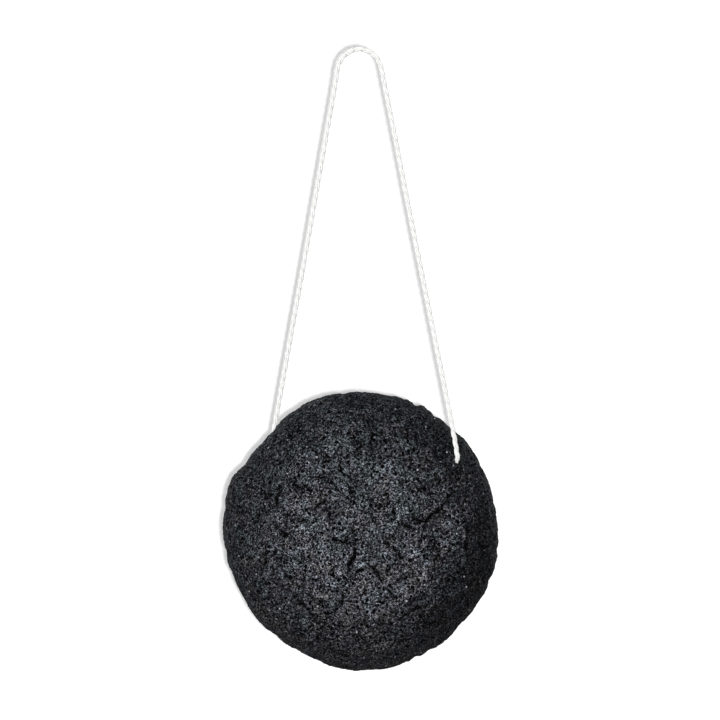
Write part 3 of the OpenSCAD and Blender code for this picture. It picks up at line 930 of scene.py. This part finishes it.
# Distance, then where it is dark and where no longer, and how dark it gets
for distance, near, far, dark in (
        (mark["gap"], -0.05, 0.05, 1.0), (pit_gap, -0.02, 0.08, 0.95),
        (mark["line_gap"], 0.14, 0.42, 0.9)):
    hollow = add_node(tree, "ShaderNodeMapRange", {
        "Value": distance, "From Min": near, "From Max": far, "To Min": dark, "To Max": 0.0,
    }).outputs["Result"]
    shaded = add_node(tree, "ShaderNodeMath", {
        0: shaded, 1: hollow,
    }, operation="MAXIMUM").outputs[0]
# Painted shade also lies over the whole width of each crease
shaded = add_node(tree, "ShaderNodeMath", {
    0: mark["crease"], 1: CREASE_DARKER, 2: shaded,
}, operation="MULTIPLY_ADD", use_clamp=True).outputs[0]
open_foam = add_node(tree, "ShaderNodeMix", {
    "Factor": shaded, "A": toned.outputs["Vector"], "B": HOLLOW,
}, data_type="RGBA").outputs["Result"]
print("the foam's hollows:", len(tree.nodes), "nodes so far")

# %% [markdown]
# Painted glints stand for light off a few bare fibres: in some cells of a grid the middle is a
# bright point. The mottling also roughens the surface for the light, and dry plant fibre is dull,
# so it hardly mirrors.

# %% Painted glints and the foam's surface
PAINTED_GLINT = to_linear("#cccfd6")
GLINT_CELL = 2.8 * MM
glint_cells = add_node(tree, "ShaderNodeTexVoronoi", {
    "Vector": place, "Scale": 1 / GLINT_CELL, "Randomness": 1.0,
})
glint = add_node(tree, "ShaderNodeMapRange", {
    "Value": glint_cells.outputs["Distance"], "From Min": 0.05, "From Max": 0.12,
    "To Min": 1.0, "To Max": 0.0,
}).outputs["Result"]
chance = add_node(tree, "ShaderNodeSeparateColor", {"Color": glint_cells.outputs["Color"]})
glint = add_node(tree, "ShaderNodeMath", {
    0: glint, 1: chance.outputs["Red"],
}, operation="MULTIPLY").outputs[0]
with_painted_glints = add_node(tree, "ShaderNodeMix", {
    "Factor": glint, "A": open_foam, "B": PAINTED_GLINT,
}, data_type="RGBA").outputs["Result"]
crinkle = add_node(tree, "ShaderNodeBump", {
    "Strength": 0.7, "Distance": 0.3 * MM, "Height": mottle,
}).outputs["Normal"]
surface = add_node(tree, "ShaderNodeBsdfPrincipled", {
    "Base Color": with_painted_glints, "Roughness": 0.8, "Specular IOR Level": 0.03,
    "Normal": crinkle,
})
tree.links.new(surface.outputs["BSDF"], output.inputs["Surface"])
puff.data.materials.clear()
puff.data.materials.append(foam)
print("foam material:", len(tree.nodes), "nodes")

# %% [markdown]
# Bleached cotton yarn is white and matt. Its fibres run along each yarn at a slant, about
# 0.12 mm apart, which the UV map lets a stretched noise follow. They show as faint grey lines,
# and as a little roughness in the light.

# %% Cotton material
FIBRE_SLANT = math.radians(12)
cotton, tree, output = new_material("bleached cotton string")
yarn_spot = add_node(tree, "ShaderNodeUVMap", uv_map="yarn").outputs["UV"]
slanted = add_node(tree, "ShaderNodeMapping", {
    "Vector": yarn_spot, "Rotation": (0, 0, FIBRE_SLANT), "Scale": (9, 0.9, 1),
})
fibres = add_node(tree, "ShaderNodeTexNoise", {
    "Vector": slanted.outputs["Vector"], "Scale": 2.0, "Detail": 3.0, "Roughness": 0.6,
}).outputs["Fac"]
whites = add_node(tree, "ShaderNodeValToRGB", {"Fac": fibres})
whites.color_ramp.elements[0].position = 0.25
whites.color_ramp.elements[0].color = to_linear("#f4f3f1")
whites.color_ramp.elements[1].position = 0.6
whites.color_ramp.elements[1].color = to_linear("#fefefd")
fluff = add_node(tree, "ShaderNodeBump", {
    "Strength": 0.5, "Distance": 0.04 * MM, "Height": fibres,
})
surface = add_node(tree, "ShaderNodeBsdfPrincipled", {
    "Base Color": whites.outputs["Color"], "Roughness": 0.85, "Specular IOR Level": 0.2,
    "Normal": fluff.outputs["Normal"],
})
tree.links.new(surface.outputs["BSDF"], output.inputs["Surface"])
for piece in (string, knot):
    piece.data.materials.append(cotton)
print("cotton material:", len(tree.nodes), "nodes")

# %% [markdown]
# The CAD nodes stay in the file, hidden behind the pieces that replace them, and they get the
# same finishes.

# %% Finishes of the CAD nodes
for name, finish in (("sponge", foam), ("cord", cotton), ("cord_knot", cotton)):
    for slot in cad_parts[name].material_slots:
        slot.material = finish
print("finished", len(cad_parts), "CAD nodes")

# %% [markdown]
# The sponge hangs close in front of a white wall, and a pale floor lies below the picture. To
# the camera they are white, but they keep the soft shadow: part of the white is their own glow,
# which only the camera and mirror rays see, and the rest is lamp light on a pale surface. The
# lamps light the floor less than the wall, so its glow is stronger. From behind, the wall lets
# the camera look through, and so does the floor from below.

# %% Wall and floor
WALL_BEHIND = 80 * MM
FLOOR_Z = -250 * MM
STAGE_SIZE = 3
WALL_GLOW = 0.36
FLOOR_GLOW = 0.7


def ray_kinds(tree):
    """Tells whether a ray comes from the camera or a mirror, and whether it is a shadow's."""
    kinds = add_node(tree, "ShaderNodeLightPath").outputs
    mirrored = add_node(tree, "ShaderNodeMath", {
        0: kinds["Is Glossy Ray"], 1: kinds["Is Transmission Ray"],
    }, operation="MAXIMUM")
    looked_at = add_node(tree, "ShaderNodeMath", {
        0: kinds["Is Camera Ray"], 1: mirrored.outputs[0],
    }, operation="MAXIMUM")
    return looked_at.outputs[0], kinds["Is Shadow Ray"]


backdrop, tree, output = new_material("white painted backdrop")
looked_at, of_shadow = ray_kinds(tree)
pale = add_node(tree, "ShaderNodeBsdfDiffuse", {"Color": to_linear("#f7f7f7")})
dim = add_node(tree, "ShaderNodeBsdfDiffuse", {"Color": to_linear("#404040")})
glow = add_node(tree, "ShaderNodeEmission", {"Color": (1, 1, 1, 1), "Strength": WALL_GLOW})
lit = add_node(tree, "ShaderNodeAddShader", {0: pale.outputs[0], 1: glow.outputs[0]})
seen = add_node(tree, "ShaderNodeMixShader", {
    0: looked_at, 1: dim.outputs[0], 2: lit.outputs[0],
})
clear = add_node(tree, "ShaderNodeBsdfTransparent")
see_through = add_node(tree, "ShaderNodeMath", {
    0: add_node(tree, "ShaderNodeNewGeometry").outputs["Backfacing"],
    1: of_shadow,
}, operation="MAXIMUM")
one_sided = add_node(tree, "ShaderNodeMixShader", {
    0: see_through.outputs[0], 1: seen.outputs[0], 2: clear.outputs[0],
})
tree.links.new(one_sided.outputs[0], output.inputs["Surface"])

floor_paint = backdrop.copy()
floor_paint.name = "white painted floor"
floor_paint.node_tree.nodes["Emission"].inputs["Strength"].default_value = FLOOR_GLOW
wall_y = PUFF_MIDDLE[1] + WALL_BEHIND
for name, place, tilt, paint in (
        ("wall", (0, wall_y, FLOOR_Z + STAGE_SIZE / 2), 90, backdrop),
        ("floor", (0, wall_y - STAGE_SIZE / 2, FLOOR_Z), 0, floor_paint)):
    clear_selection()
    bpy.ops.mesh.primitive_plane_add(
        size=STAGE_SIZE, location=place, rotation=(math.radians(tilt), 0, 0))
    part = bpy.context.object
    part.name = name
    part.data.materials.append(paint)
    part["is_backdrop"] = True
print("wall", round(WALL_BEHIND / MM), "mm behind, floor at", round(FLOOR_Z / MM), "mm")

# %% [markdown]
# The light is plain and soft. The main lamp stands almost at the camera, a little to its
# right, so the dome is brightest in its middle and falls off to a dark rim, and the string's
# narrow shadow lies just to its left on the wall. A wide lamp fills from the upper left, and two
# more light the back, for the views from there. The world is white to look at, but it lights
# the foam only faintly, so that the hollows stay dark.

# %% Lamps and world
AIM = np.array([0, 0, -90]) * MM
# Name, place and size in metres, watts
LAMPS = (
    ("key", (0.014, -0.87, -0.099), 0.014, 5.8),
    ("fill", (-0.65, -0.7, 0.35), 0.5, 3.7),
    ("back_left", (-0.5, 0.85, 0.3), 0.5, 4.0),
    ("back_right", (0.5, 0.85, 0.1), 0.5, 4.0),
)
WORLD_LIGHT = 0.08


def area_lamp(name, place, size, watts):
    """Square lamp of that size at place, turned to the object and unseen by the camera."""
    clear_selection()
    bpy.ops.object.light_add(type="AREA", location=place)
    lamp = bpy.context.object
    lamp.name = name
    lamp.data.size = size
    lamp.data.energy = watts
    lamp.visible_camera = False
    away = AIM - np.array(place)
    flat = math.hypot(away[0], away[1])
    lamp.rotation_euler = (
        math.pi / 2 + math.atan2(away[2], flat), 0, math.atan2(-away[0], away[1]))


for lamp in LAMPS:
    area_lamp(*lamp)

world = bpy.data.worlds.new("studio")
bpy.context.scene.world = world
world.use_nodes = True
tree = world.node_tree
tree.nodes.clear()
output = add_node(tree, "ShaderNodeOutputWorld")
looked_at, of_shadow = ray_kinds(tree)
strength = add_node(tree, "ShaderNodeMapRange", {
    "Value": looked_at, "To Min": WORLD_LIGHT, "To Max": 1.0,
})
sky = add_node(tree, "ShaderNodeBackground", {
    "Color": (1, 1, 1, 1), "Strength": strength.outputs["Result"],
})
tree.links.new(sky.outputs[0], output.inputs["Surface"])
bpy.context.scene.view_settings.view_transform = "Standard"
print("lamps:", [lamp[0] for lamp in LAMPS])

# %% [markdown]
# Last, the visual model's box is printed beside the CAD model's. The dressing may not
# change the object's size.

# %% Sizes and finish
boxes = {
    "cad": [list(corner) for corner in cad_box],
    "visual": [list(corner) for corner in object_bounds()],
}
for name, corners in boxes.items():
    print(name, [[round(c / MM, 1) for c in corner] for corner in corners])
